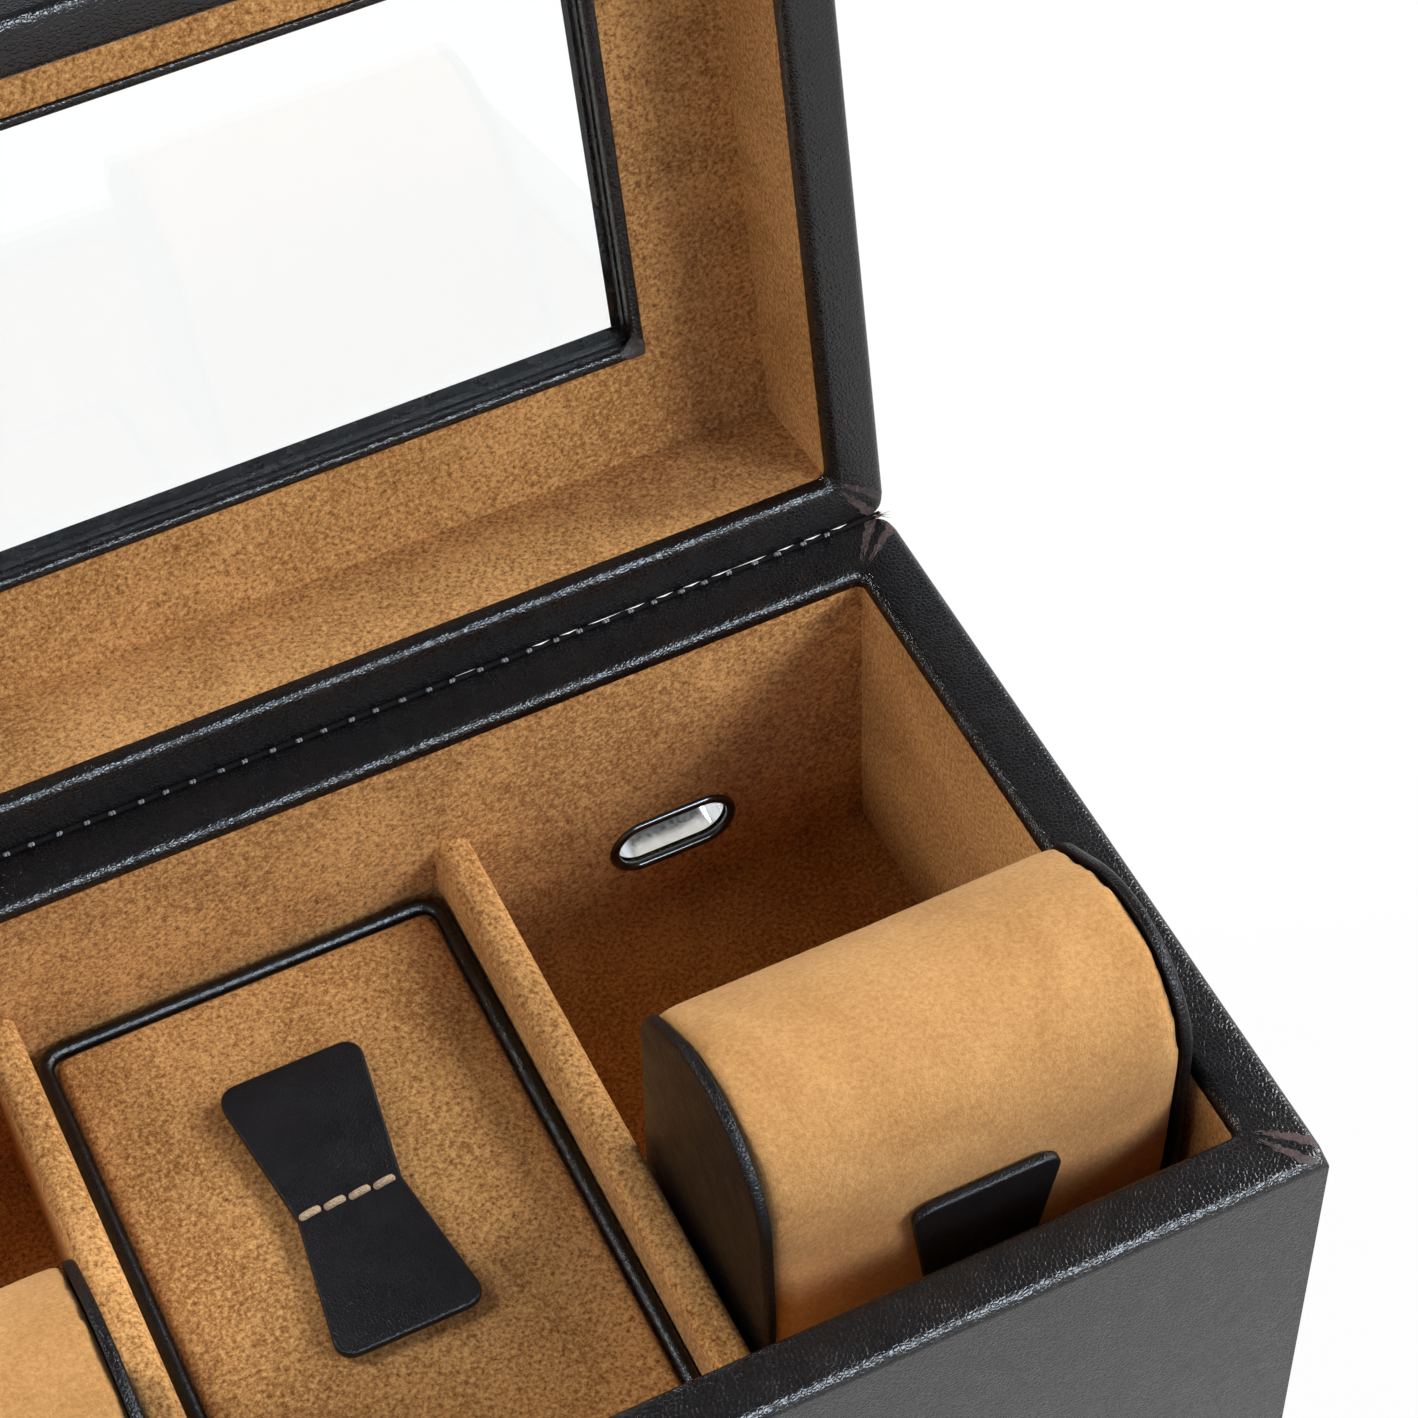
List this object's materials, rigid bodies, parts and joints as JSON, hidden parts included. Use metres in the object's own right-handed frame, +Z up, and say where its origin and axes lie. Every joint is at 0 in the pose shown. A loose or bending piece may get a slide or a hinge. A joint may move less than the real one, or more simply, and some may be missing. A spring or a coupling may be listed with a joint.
{
  "type": "watch box with drawer",
  "caption": "Leather-covered watch box with suede-lined bays, hinged window lid, padded lift-out cover, watch cushions and a shallow drawer under the bays.",
  "frame": {"origin": "middle of the underside, on the surface that the box stands on", "axes": "+Z up, +Y to the rear, +X to the right as seen from the front"},
  "size_m": [0.2414, 0.2015, 0.2448],
  "materials": {
    "leather": "smooth dark brown hide with a soft sheen",
    "tab_leather": "fine-grained, nearly black",
    "piping": "thin black leather cord",
    "suede": "tan microsuede, short nap",
    "felt": "dark felt",
    "thread": "waxed dark thread",
    "lacquer": "glossy dark edge paint",
    "metal": "polished",
    "glass": "clear flat pane",
    "board": "plain fibreboard, covered everywhere"
  },
  "bodies": {
    "case": {"case_side_left": "board", "case_side_right": "board", "case_back": "board", "case_front": "board", "case_floor": "board", "case_bottom": "board", "case_felt": "felt", "case_leather": "leather", "lining_back": "suede", "lining_front": "suede", "lining_left": "suede", "lining_right": "suede", "bay_floor_linings": "suede", "divider_left": "suede", "divider_right": "suede", "cover_ledges": "suede", "slot_sleeve": "metal", "slot_rim_inner": "lacquer", "slot_rim_outer": "lacquer", "drawer_runners": "board", "drawer_stop": "board", "hinge_stitches": "thread"},
    "lid": {"lid_front": "board", "lid_back": "board", "lid_side_left": "board", "lid_side_right": "board", "window_rail_front": "board", "window_rail_back": "board", "window_rail_left": "board", "window_rail_right": "board", "window_glass": "glass", "window_edge": "leather", "lid_wall_lining": "suede", "lid_top_lining": "suede", "lid_leather": "leather"},
    "drawer": {"drawer_front": "board", "drawer_front_leather": "leather", "drawer_pull": "tab_leather", "drawer_side_left": "board", "drawer_side_right": "board", "drawer_back": "board", "drawer_bottom": "board", "drawer_lining": "suede"},
    "cover": {"cover_board": "suede", "cover_pad": "suede", "cover_piping": "piping", "cover_tab": "tab_leather"},
    "watch_cushion_left": {"cushion_left": "suede", "cushion_left_caps": "leather", "cushion_left_tab": "tab_leather"},
    "watch_cushion_right": {"cushion_right": "suede", "cushion_right_caps": "leather", "cushion_right_tab": "tab_leather"}
  },
  "joints": [
    {"name": "lid_hinge", "type": "hinge", "parent": "case", "child": "lid", "pos_m": [0, 0.0672, 0.11265], "axis": [-1, 0, 0], "range_deg": [-99.5, 0]},
    {"name": "drawer_slide", "type": "slide", "parent": "case", "child": "drawer", "axis": [0, -1, 0], "range_m": [0, 0.085]},
    {"name": "cover_lift", "type": "slide", "parent": "case", "child": "cover", "axis": [0, 0, 1], "range_m": [0, 0.07]},
    {"name": "cushion_left_lift", "type": "slide", "parent": "case", "child": "watch_cushion_left", "axis": [0, 0, 1], "range_m": [0, 0.1]},
    {"name": "cushion_right_lift", "type": "slide", "parent": "case", "child": "watch_cushion_right", "axis": [0, 0, 1], "range_m": [0, 0.1]}
  ]
}
